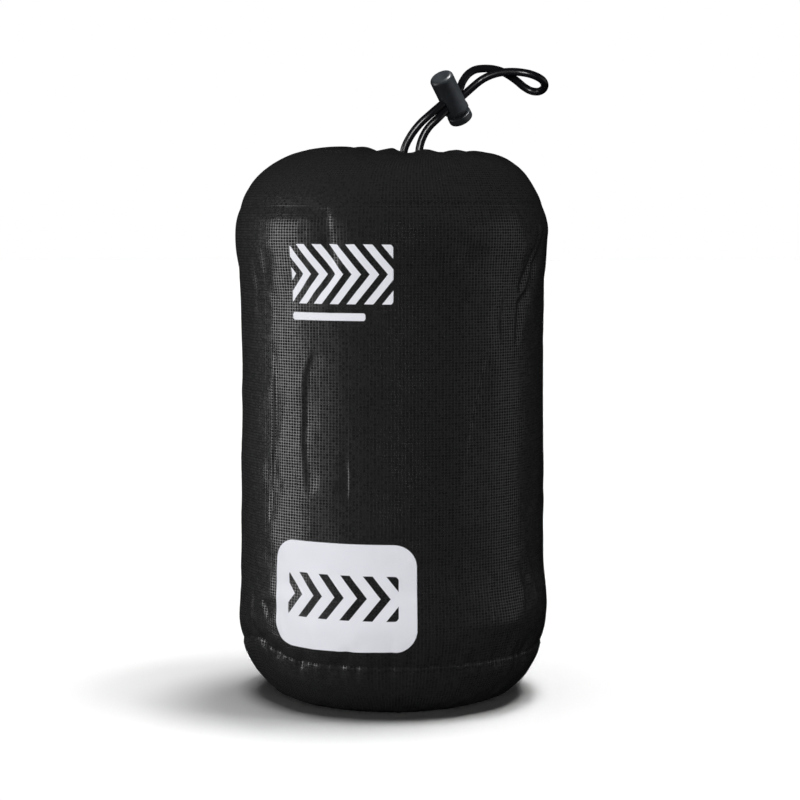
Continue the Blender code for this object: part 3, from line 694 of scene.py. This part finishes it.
def lock_frame():
    """The cord lock's place: Z along the barrel towards its closed end, X along the cord hole."""
    across = Vector((math.cos(LOCK_LEAN), 0.0, math.sin(LOCK_LEAN)))
    upright = Vector((-math.sin(LOCK_LEAN), 0.0, math.cos(LOCK_LEAN)))
    barrel = upright * math.cos(LOCK_NOD) - Vector((0.0, math.sin(LOCK_NOD), 0.0))
    back = barrel.cross(across)
    hole = across * math.cos(HOLE_TURN) + back * math.sin(HOLE_TURN)
    turn = Matrix((hole, barrel.cross(hole), barrel)).transposed()
    return Matrix.Translation(LOCK_CENTRE) @ turn.to_4x4()


def cord_route():
    """The drawcord's route in metres, from the mouth through the lock, round its loop and back."""
    place = lock_frame()

    def through_hole(side, ends):
        return [place @ Vector((end * HOLE_RUN, 0.0, side * STRAND_OFFSET)) for end in ends]

    route = [Vector(point) * MM for point in MOUTH_TO_LOCK]
    route += through_hole(1, (-1, 0, 1))
    route += [Vector(point) * MM for point in LOOP]
    route += through_hole(-1, (1, 0, -1))
    route += [Vector(point) * MM for point in LOCK_TO_MOUTH]
    return route


def ring_skin(name, points, across=None, along=None):
    """A closed skin of quads from rings of points, each end closed by a fan.

    across and along give its UV map: a length per column, with the closing column repeated, and a length per ring.
    """
    rows, columns = points.shape[:2]
    ends = [points[0].mean(axis=0), points[-1].mean(axis=0)]
    vertices = np.concatenate([points.reshape(-1, 3), ends])
    first, last = rows * columns, rows * columns + 1
    faces = grid_faces(rows, columns).reshape(-1, 4).tolist()
    ring = [(column, (column + 1) % columns) for column in range(columns)]
    faces += [(first, beside, here) for here, beside in ring]
    faces += [(last, first - columns + here, first - columns + beside) for here, beside in ring]
    mesh = bpy.data.meshes.new(name)
    mesh.from_pydata(vertices.tolist(), [], faces)
    mesh.shade_smooth()
    if across is not None:
        low_row, column = np.indices((rows - 1, columns))
        corner_rows = np.stack([low_row, low_row, low_row + 1, low_row + 1], axis=-1)
        corner_columns = np.stack([column, column + 1, column + 1, column], axis=-1)
        quad_uv = np.stack([across[corner_columns], along[corner_rows]], axis=-1).reshape(-1, 2)
        values = np.zeros((len(mesh.loops), 2), dtype=np.float32)
        values[:len(quad_uv)] = quad_uv
        mesh.uv_layers.new(name="cloth").data.foreach_set("uv", values.ravel())
    return mesh


def tube_frames(path):
    """Two steady side directions along a path."""
    tangents = np.gradient(path, axis=0)
    tangents /= np.linalg.norm(tangents, axis=1)[:, None]
    side = np.cross(tangents[0], (0.0, 1.0, 0.0))
    side /= np.linalg.norm(side)
    sides = []
    for tangent in tangents:
        side = side - tangent * side.dot(tangent)
        side /= np.linalg.norm(side)
        sides.append(side)
    sides = np.array(sides)
    return sides, np.cross(tangents, sides)


def make_drawcord(material):
    path = even_points(cord_route(), CORD_RING)
    sides, others = tube_frames(path)
    turn = np.linspace(0.0, 2 * math.pi, CORD_SIDES, endpoint=False)[None, :]
    station = (np.arange(len(path)) * CORD_RING)[:, None]
    swing = 2 * math.pi * BRAID_STRANDS * station / BRAID_LAY
    right, left = BRAID_STRANDS * turn + swing, BRAID_STRANDS * turn - swing
    over = 0.5 + 0.5 * np.tanh(3 * np.sin((right + left) / 2) * np.sin((right - left) / 2))
    relief = BRAID_RELIEF * (over * np.cos(right / 2) ** 2 + (1 - over) * np.cos(left / 2) ** 2 - BRAID_MEAN)
    radius = CORD_DIAMETER / 2 + relief
    points = (path[:, None, :] + radius[..., None] * (
        np.cos(turn)[..., None] * sides[:, None, :] + np.sin(turn)[..., None] * others[:, None, :]))
    cord = new_object("drawcord_braid", ring_skin("drawcord_braid", points), material)
    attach(cord, "sack")
    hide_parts("drawcord")
    return cord


# ---------------------------------------------------------------- cord lock

def shaped_by(solid, name):
    """A piece from a bmesh, which is freed."""
    mesh = bpy.data.meshes.new(name)
    solid.to_mesh(mesh)
    solid.free()
    return new_object(name, mesh)


def turned_piece(name, profile):
    """A turned piece from its outer profile, (radius, height) from the top down, as a closed mesh."""
    solid = bmesh.new()
    points = [solid.verts.new((radius, 0.0, height)) for radius, height in profile]
    edges = [solid.edges.new(pair) for pair in zip(points, points[1:])]
    bmesh.ops.spin(
        solid, geom=points + edges, cent=(0, 0, 0), axis=(0, 0, 1), angle=2 * math.pi, steps=TURN_STEPS,
        use_merge=True)
    bmesh.ops.remove_doubles(solid, verts=solid.verts, dist=0.002 * MM)
    bmesh.ops.recalc_face_normals(solid, faces=solid.faces)
    return shaped_by(solid, name)


def slot_cutter(name, centre_height, length):
    """A round-ended bar that cuts the cord hole; its length runs along the barrel."""
    bar = bmesh.new()
    bmesh.ops.create_cube(bar, size=1.0)
    bmesh.ops.scale(bar, vec=(4 * BARREL_RADIUS, HOLE_WIDTH, length), verts=bar.verts)
    bmesh.ops.translate(bar, vec=(0.0, 0.0, centre_height), verts=bar.verts)
    through = [edge for edge in bar.edges if abs(edge.verts[0].co.x - edge.verts[1].co.x) > BARREL_RADIUS]
    bmesh.ops.bevel(bar, geom=through, offset=HOLE_ROUND, segments=12, profile=0.5, affect="EDGES")
    return shaped_by(bar, name)


def finished(piece, cutters, place, material):
    """Cut a turned piece, round its new edges and set it in its place."""
    for cutter in cutters:
        boolean = piece.modifiers.new("cut", "BOOLEAN")
        boolean.operation = "DIFFERENCE"
        boolean.solver = "EXACT"
        boolean.object = cutter
    bevel = piece.modifiers.new("round", "BEVEL")
    bevel.width = EDGE_ROUND
    bevel.segments = 3
    bevel.angle_limit = ROUNDED_FROM
    bevel.use_clamp_overlap = True
    shaped = bake(piece)
    for cutter in cutters:
        bpy.data.objects.remove(cutter, do_unlink=True)
    shaped.transform(place)
    shaped.materials.clear()
    shaped.materials.append(material)
    shaped.set_sharp_from_angle(angle=SHARP_FROM)
    return piece


def arc(centre, radius, start, end, steps):
    """Points of an arc in a profile, from a start to an end angle in degrees."""
    angles = np.radians(np.linspace(start, end, steps))
    return [(centre[0] + radius * math.cos(angle), centre[1] + radius * math.sin(angle)) for angle in angles]


def make_lock(plastic):
    place = lock_frame()
    barrel_profile = [(0.0, BARREL_TOP - 0.35 * MM), (2.2 * MM, BARREL_TOP - 0.18 * MM)]
    barrel_profile += arc((BARREL_RADIUS - RIM_ROUND, BARREL_TOP - RIM_ROUND), RIM_ROUND, 92, 0, 12)
    collar = ((0.0, 2.4), (0.6 * COLLAR, 2.1), (COLLAR, 1.7), (COLLAR, 0.5), (-0.05 * MM, 0.0))
    barrel_profile += [(BARREL_RADIUS + out, BARREL_FOOT + rise * MM) for out, rise in collar]
    barrel_profile += [(0.0, BARREL_FOOT)]
    bore_foot = BARREL_FOOT - 2 * MM
    bore = turned_piece("bore_cutter", [
        (0.0, BORE_TOP), (BORE_RADIUS, BORE_TOP), (BORE_RADIUS, bore_foot), (0.0, bore_foot)])
    barrel = finished(
        turned_piece("lock_barrel_moulding", barrel_profile),
        [bore, slot_cutter("hole_cutter", 0.0, HOLE_LENGTH)], place, plastic)

    head_top = BARREL_FOOT - HEAD_GAP
    head_foot = head_top - HEAD_HEIGHT
    dished = head_foot + 0.1 * MM
    plunger_profile = [
        (0.0, PLUNGER_TOP), (PLUNGER_RADIUS - LEAD_IN, PLUNGER_TOP), (PLUNGER_RADIUS, PLUNGER_TOP - LEAD_IN),
        (PLUNGER_RADIUS, head_top)]
    plunger_profile += arc((HEAD_RADIUS - 0.4 * MM, head_top - 0.4 * MM), 0.4 * MM, 90, 0, 5)
    plunger_profile += arc((HEAD_RADIUS - FOOT_ROUND, head_foot + FOOT_ROUND), FOOT_ROUND, 0, -90, 8)
    plunger_profile += [(2.0 * MM, dished), (0.0, dished)]
    slot_length = HOLE_LENGTH + PLUNGER_TRAVEL
    plunger = finished(
        turned_piece("lock_plunger_moulding", plunger_profile),
        [slot_cutter("plunger_slot_cutter", -PLUNGER_TRAVEL / 2, slot_length)], place, plastic)

    for piece, node, body in ((barrel, "lock_barrel", "sack"), (plunger, "lock_plunger", "plunger")):
        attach(piece, body)
        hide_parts(node)
    return [barrel, plunger]


# ---------------------------------------------------------------- stitches

def stitch_tree(thread):
    """Geometry Nodes that sew lockstitches along closed paths, whose 'off_cloth' points away from the cloth."""
    tree = bpy.data.node_groups.new("lockstitch_row", "GeometryNodeTree")
    tree.interface.new_socket(name="Path", in_out="INPUT", socket_type="NodeSocketGeometry")
    for name in STITCH_SIZES:
        tree.interface.new_socket(name=name, in_out="INPUT", socket_type="NodeSocketFloat")
    tree.interface.new_socket(name="Seed", in_out="INPUT", socket_type="NodeSocketInt")
    tree.interface.new_socket(name="Stitches", in_out="OUTPUT", socket_type="NodeSocketGeometry")
    given = add(tree, "NodeGroupInput").outputs
    route = add(tree, "GeometryNodeMeshToCurve", {"Mesh": given["Path"]})
    stations = add(tree, "GeometryNodeResampleCurve", {"Curve": route, "Length": given["Pitch"]}, mode="LENGTH")
    off_cloth = add(tree, "GeometryNodeInputNamedAttribute", {"Name": "off_cloth"}, data_type="FLOAT_VECTOR")
    upright = add(tree, "FunctionNodeAlignRotationToVector", {"Vector": off_cloth}, axis="Z")
    tangent = add(tree, "GeometryNodeInputTangent")
    along = add(tree, "FunctionNodeAlignRotationToVector", {
        "Rotation": upright, "Vector": tangent}, axis="X", pivot_axis="Z")
    skew = add(tree, "FunctionNodeRandomValue", {
        2: -STITCH_SKEW, 3: STITCH_SKEW, "Seed": given["Seed"]}, data_type="FLOAT")
    swing = add(tree, "FunctionNodeAxisAngleToRotation", {"Axis": (0.0, 0.0, 1.0), "Angle": skew})
    skewed = add(tree, "FunctionNodeRotateRotation", {
        "Rotation": along, "Rotate By": swing}, rotation_space="LOCAL")

    half, back, sunk, proud = (
        add(tree, "ShaderNodeMath", {0: given[size], 1: times}, operation="MULTIPLY")
        for size, times in (
            ("Length", 0.5), ("Length", -0.5), ("Thread Radius", -1.0), ("Thread Radius", STITCH_CROWN)))
    start = add(tree, "ShaderNodeCombineXYZ", {"X": back, "Z": sunk})
    middle = add(tree, "ShaderNodeCombineXYZ", {"Z": proud})
    end = add(tree, "ShaderNodeCombineXYZ", {"X": half, "Z": sunk})
    run = add(tree, "GeometryNodeCurveQuadraticBezier", {
        "Resolution": 5, "Start": start, "Middle": middle, "End": end})
    section = add(tree, "GeometryNodeCurvePrimitiveCircle", {
        "Resolution": 7, "Radius": given["Thread Radius"]}, mode="RADIUS")
    stitch = add(tree, "GeometryNodeCurveToMesh", {"Curve": run, "Profile Curve": section, "Fill Caps": True})
    row = add(tree, "GeometryNodeInstanceOnPoints", {
        "Points": stations, "Instance": stitch, "Rotation": skewed})
    whole = add(tree, "GeometryNodeRealizeInstances", {"Geometry": row})
    dressed = add(tree, "GeometryNodeSetMaterial", {"Geometry": whole, "Material": thread})
    add(tree, "NodeGroupOutput", {"Stitches": dressed})
    return tree


def sew(name, points, lengths, distances, stitches):
    """Sew one stitch row round a cloth skin at each distance along it, in mm."""
    normals = np.cross(np.gradient(points, axis=1), np.gradient(points, axis=0))
    normals /= np.linalg.norm(normals, axis=-1)[..., None] + 1e-12
    rows = [int(np.abs(lengths - distance).argmin()) for distance in distances]
    columns = points.shape[1]
    edges = [
        (turn * columns + column, turn * columns + (column + 1) % columns)
        for turn in range(len(rows)) for column in range(columns)]
    mesh = bpy.data.meshes.new(name)
    mesh.from_pydata(points[rows].reshape(-1, 3).tolist(), edges, [])
    mesh.attributes.new("off_cloth", "FLOAT_VECTOR", "POINT").data.foreach_set("vector", normals[rows].ravel())
    piece = new_object(name, mesh)
    modifier = piece.modifiers.new("stitches", "NODES")
    modifier.node_group = stitches
    given = {**STITCH_SIZES, "Seed": STITCH_SEED}
    for socket in stitches.interface.items_tree:
        if socket.name in given:
            modifier[socket.identifier] = given[socket.name]
    bake(piece)
    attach(piece, "sack")


# ---------------------------------------------------------------- cloth panels

def around(radius, angle, height):
    """Points in metres from radii and heights in mm and their angles round the axis."""
    return np.stack(np.broadcast_arrays(radius * np.sin(angle), -radius * np.cos(angle), height), axis=-1) * MM


def seam_relief(angle, distance, seed):
    """How a seam draws the cloth in: a groove on it and short uneven puckers beside it."""
    groove = -GROOVE_DEPTH * bell(distance, GROOVE_WIDTH)
    pull = ripple(angle, 0 * angle, seed, PUCKER_WAVES, (0, 0))
    return groove - PUCKER_DEPTH * np.maximum(pull, -PUCKER_SWELL) * bell(distance - PUCKER_AT, PUCKER_REACH)


def gather_relief(angle, distance):
    """Wide gathers on both sides of the base seam."""
    uneven = 0.65 + 0.35 * np.sin(3 * angle + 0.4)
    return -GATHER_DEPTH * uneven * bell(distance, GATHER_REACH) * (0.5 + 0.5 * np.cos(GATHERS * angle))


def patch_relief(angle, distance, degrees, width, middle, reach, rise):
    """A soft patch round the place that is given in degrees from the front and as a distance in mm."""
    return rise * bell(np.degrees(angle) - degrees, width) * bell(distance - middle, reach)


def dent_relief(angle, distance):
    """The dents that the stitching pulls on both sides of the base seam."""
    return -sum(
        patch_relief(angle, distance, degrees, width, 0.0, DENT_REACH, depth) for degrees, width, depth in DENTS)


def crumple(angle, along, seed):
    """The small sharp creases and soft swells of handled nylon."""
    swell = ripple(angle, along, seed, (3, 9), (4, 14))
    sharp = -np.abs(ripple(angle, along, seed + 1, (5, 16), (8, 30)))
    return CRUMPLE_SWELL * swell + CRUMPLE_CREASE * sharp + CRUMPLE_MEAN


def side_relief(angle, height):
    """How far, in mm, the side panel stands in or out."""
    low, high = BASE_SEAM_Z / MM, TOP_SEAM_Z / MM
    rise = (height - low) / (high - low)
    free = 4 * rise * (1 - rise)
    relief = np.zeros(np.broadcast(angle, height).shape)
    for around_it, up_it, depth, phase in LUMPS:
        relief += free * depth * np.sin(around_it * angle + phase) * np.cos(math.pi * up_it * rise)
    for middle, reach, shift in SWAY:
        relief += shift * np.sin(angle) * bell(height - middle, reach)
    across = angle * SEAM_RADIUS / MM
    for crease in CREASES:
        relief += crease_relief(across, height, *crease)
    for degrees, middle, reach_across, reach_up, swell in SWELLS:
        beside = across - math.radians(degrees) * SEAM_RADIUS / MM
        relief += swell * bell(beside, reach_across) * bell(height - middle, reach_up)
    relief += gather_relief(angle, height - low) + dent_relief(angle, height - low)
    relief += seam_relief(angle, height - low, 11) + TOP_SEAM_SHARE * seam_relief(angle, high - height, 12)
    return relief + crumple(angle, height, 20) * np.minimum(1.0, 6 * rise * (1 - rise))


def between(values, places, around_again):
    """Values at fractional places along the first axis of evenly spaced samples, on a smooth curve."""
    low = np.floor(places).astype(int)
    share = (places - low).reshape((-1,) + (1,) * (values.ndim - 1))
    count = len(values)
    near = [low + step for step in (-1, 0, 1, 2)]
    near = [place % count if around_again else np.clip(place, 0, count - 1) for place in near]
    before, start, end, after = (values[place] for place in near)
    bend = 2 * before - 5 * start + 4 * end - after
    curve = 3 * (start - end) + after - before
    return start + 0.5 * share * (end - before + share * (bend + share * curve))


def grid_faces(rows, columns):
    """Quads of a grid whose columns close to a ring."""
    low = np.arange(rows - 1)[:, None] * columns
    here = np.arange(columns)[None, :]
    beside = (here + 1) % columns
    return np.stack([low + here, low + beside, low + columns + beside, low + columns + here], axis=-1)


def cloth_movement(points, held):
    """How far each point of a coarse ring of cloth moves when the filling presses it against its held rows."""
    rows, columns = points.shape[:2]
    mesh = bpy.data.meshes.new("filling")
    mesh.from_pydata(points.reshape(-1, 3).tolist(), [], grid_faces(rows, columns).reshape(-1, 4).tolist())
    trial = new_object("filling", mesh)
    seams = trial.vertex_groups.new(name="seams")
    seams.add(np.flatnonzero(np.repeat(held, columns)).tolist(), 1.0, "REPLACE")
    cloth = trial.modifiers.new("filling", "CLOTH")
    nylon = cloth.settings
    nylon.quality = 6
    nylon.mass = 0.02
    nylon.tension_stiffness = nylon.compression_stiffness = 15.0
    nylon.shear_stiffness = 6.0
    nylon.bending_stiffness = 0.2
    nylon.air_damping = 2.0
    nylon.use_pressure = True
    nylon.uniform_pressure_force = FILL_PRESSURE
    nylon.shrink_min = -FILL_EASE
    nylon.vertex_group_mass = seams.name
    nylon.effector_weights.gravity = 0.0
    cloth.collision_settings.use_collision = False
    cloth.point_cache.frame_start = 1
    cloth.point_cache.frame_end = FILL_FRAMES
    for moment in range(1, FILL_FRAMES + 1):
        bpy.context.scene.frame_set(moment)
    shaped = trial.evaluated_get(bpy.context.evaluated_depsgraph_get()).data
    places = np.empty(points.size)
    shaped.vertices.foreach_get("co", places)
    bpy.data.objects.remove(trial, do_unlink=True)
    bpy.context.scene.frame_set(1)
    return places.reshape(points.shape) - points


def pressed_out(points, row_height, held):
    """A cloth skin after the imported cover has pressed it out. Its outline stays, and each point moves a little."""
    rows, columns = points.shape[:2]
    coarse_rows = max(4, round((rows - 1) * row_height / FILL_ROW)) + 1
    picked_rows = np.round(np.linspace(0, rows - 1, coarse_rows)).astype(int)
    picked_columns = np.round(np.arange(FILL_COLUMNS) * columns / FILL_COLUMNS).astype(int)
    coarse = points[picked_rows][:, picked_columns]
    moved = cloth_movement(coarse, held[picked_rows])
    out = outwards(coarse)
    moved -= out * (moved * out).sum(axis=-1).mean(axis=1)[:, None, None]
    size = np.linalg.norm(moved, axis=-1)[..., None] + 1e-9
    moved *= FILL_REACH * np.tanh(size / FILL_REACH) / size
    moved = between(moved, np.arange(rows) * (coarse_rows - 1) / (rows - 1), False)
    moved = between(moved.swapaxes(0, 1), np.arange(columns) * FILL_COLUMNS / columns, True).swapaxes(0, 1)
    return points + moved


def column_angles(columns, density):
    """Angles of the columns from the back round the front to the back again, with the closing column repeated."""
    even = np.linspace(-math.pi, math.pi, columns + 1)
    return even - density * (np.sin(even) - np.sin(2 * even) / 6)


def finish_cloth(name, node, points, angles, lengths, material):
    piece = new_object(name, ring_skin(name, points, angles * SEAM_RADIUS, lengths * MM), material)
    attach(piece, "sack")
    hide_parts(node)


def turned_in(points, lengths, at_start):
    """Add the cloth that is turned in at a seam: a ring inside, and a ring beside the edge, which keeps it crisp."""
    order = 1 if at_start else -1
    points, lengths = points[::order], lengths[::order]
    edge = points[0]
    inner = edge - TURNED_IN * MM * (outwards(edge) + (0.0, 0.0, 1.0))
    beside = edge + CRISP_SHARE * (points[1] - edge)
    points = np.concatenate([[inner, edge, beside], points[1:]])
    beside_length = lengths[0] + CRISP_SHARE * (lengths[1] - lengths[0])
    lengths = np.concatenate([[lengths[0] - order * TURNED_IN, lengths[0], beside_length], lengths[1:]])
    return points[::order], lengths[::order]


def make_side_panel(material):
    radii, heights, _ = outline_rows(SIDE_OUTLINE, SIDE_ROW)
    angles = column_angles(SIDE_COLUMNS, FRONT_DENSITY)
    angle, height = angles[None, :-1], heights[:, None]
    raised = height + patch_relief(angle, height - BASE_SEAM_Z / MM, *SEAM_CLIMB)
    points = around(radii[:, None] + side_relief(angle, height), angle, raised)
    held = np.isin(heights, heights[[0, -1]])
    points = pressed_out(points, SIDE_ROW, held)
    points, heights = turned_in(points, heights, at_start=True)
    points, heights = turned_in(points, heights, at_start=False)
    finish_cloth("side_panel_cloth", "side_panel", points, angles, heights, material)


def make_base_panel(material, stitches):
    flat_radius = BASE_OUTLINE[0][0]
    flat = np.arange(UNDERSIDE_START, flat_radius, UNDERSIDE_ROW)
    radii, heights, lengths = outline_rows(BASE_OUTLINE, BASE_ROW)
    radii = np.concatenate([flat, radii])
    heights = np.concatenate([0 * flat, heights])
    lengths = np.concatenate([flat - flat_radius, lengths])
    angles = column_angles(BASE_COLUMNS, FRONT_DENSITY)
    angle, height = angles[None, :-1], heights[:, None]
    free = np.clip((radii - flat_radius - FREE_FROM) / FREE_OVER, 0.0, 1.0)[:, None]
    distance = BASE_SEAM_Z / MM - height
    relief = gather_relief(angle, distance) + seam_relief(angle, distance, 13)
    relief = relief + crumple(angle, lengths[:, None], 30) + dent_relief(angle, distance)
    relief = relief - patch_relief(angle, distance, *LEFT_TUCK)
    climb = patch_relief(angle, distance, *SEAM_CLIMB)
    points = around(radii[:, None] + free * relief, angle, height + free * climb)
    held = heights <= 0.0
    held[-1] = True
    points = pressed_out(points, BASE_ROW, held)
    points[..., 2] = np.maximum(points[..., 2], 0.0)
    sew("base_topstitch", points[::-1], lengths[::-1], [lengths[-1] - TOPSTITCH_AT], stitches)
    points, lengths = turned_in(points, lengths, at_start=False)
    finish_cloth("base_panel_cloth", "base_panel", points, angles, lengths, material)


def top_surface(angle, radius, height):
    """The gathered top: a dome at the seam that turns into pleats round the mouth."""
    centre = ease(np.minimum(1.0, (SEAM_RADIUS / MM - radius) / (SEAM_RADIUS / MM - MOUTH_INNER)))
    x = radius * np.sin(angle) + MOUTH_X * centre
    y = -radius * np.cos(angle) + MOUTH_Y * centre
    reach = np.hypot(x - MOUTH_X, y - MOUTH_Y)
    bearing = np.arctan2(y - MOUTH_Y, x - MOUTH_X)
    turns = ((bearing - FIRST_CREST) / PLEAT_PITCH) % len(PLEAT_DEPTHS)
    index = turns.astype(int)
    valley = (0.5 - 0.5 * np.cos(2 * math.pi * (turns - index))) ** VALLEY_WIDTH
    drop = np.array(PLEAT_DEPTHS)[index] * valley * bell(reach - PLEAT_RADIUS, PLEAT_REACH)
    way = np.arctan2(x, -y)
    rim = -DOME_LEFT_RISE * np.sin(way) + DOME_FRONT_RISE * np.cos(way) - DOME_OVAL_RISE * np.cos(2 * way)
    rise = rim * bell(np.hypot(x, y) - DOME_RIM_RADIUS, DOME_RIM_REACH)
    rise = rise + patch_relief(way, np.hypot(x, y), *LEFT_SHOULDER)
    fine = ripple(bearing, 0 * bearing, 41, FINE_PLEAT_WAVES, (0, 0))
    drop = drop + FINE_PLEAT_DEPTH * np.maximum(fine, -0.5) * bell(reach - FINE_PLEAT_AT[0], FINE_PLEAT_AT[1])
    return np.stack([x, y, height + rise - drop], axis=-1) * MM


def make_top_panel(material, stitches):
    radii, heights, lengths = outline_rows(TOP_OUTLINE, TOP_ROW)
    angles = column_angles(TOP_COLUMNS, 0.0)
    angle, distance = angles[None, :-1], lengths[:, None]
    bulge = TOP_SEAM_SHARE * seam_relief(angle, distance, 14)
    bulge = bulge + crumple(angle, distance, 50) * bell(distance - TOP_CRUMPLE[0], TOP_CRUMPLE[1])
    points = top_surface(angle, radii[:, None] + bulge * (distance < TOP_CRUMPLE_END), heights[:, None])
    held = radii < PLEAT_RADIUS
    held[0] = True
    points = pressed_out(points, TOP_ROW, held)
    sew("top_stitches", points, lengths, [TOPSTITCH_AT, *CASING_STITCH_AT], stitches)
    points, lengths = turned_in(points, lengths, at_start=True)
    finish_cloth("top_panel_cloth", "top_panel", points, angles, lengths + TOP_SEAM_Z / MM, material)


# ---------------------------------------------------------------- the whole

def main():
    make_camera()
    make_stage()
    lock_pieces = make_lock(moulded_acetal())
    cord = make_drawcord(braided_elastic())
    plain_cloth = coated_ripstop("coated_ripstop_nylon")
    stitches = stitch_tree(bonded_thread())
    make_side_panel(coated_ripstop("printed_ripstop_nylon", plain_marks))
    make_base_panel(plain_cloth, stitches)
    make_top_panel(plain_cloth, stitches)
    pieces = [piece for piece in bpy.data.objects if piece.type == "MESH" and piece.name != "floor"]
    make_softboxes(pieces, cord, lock_pieces)


main()
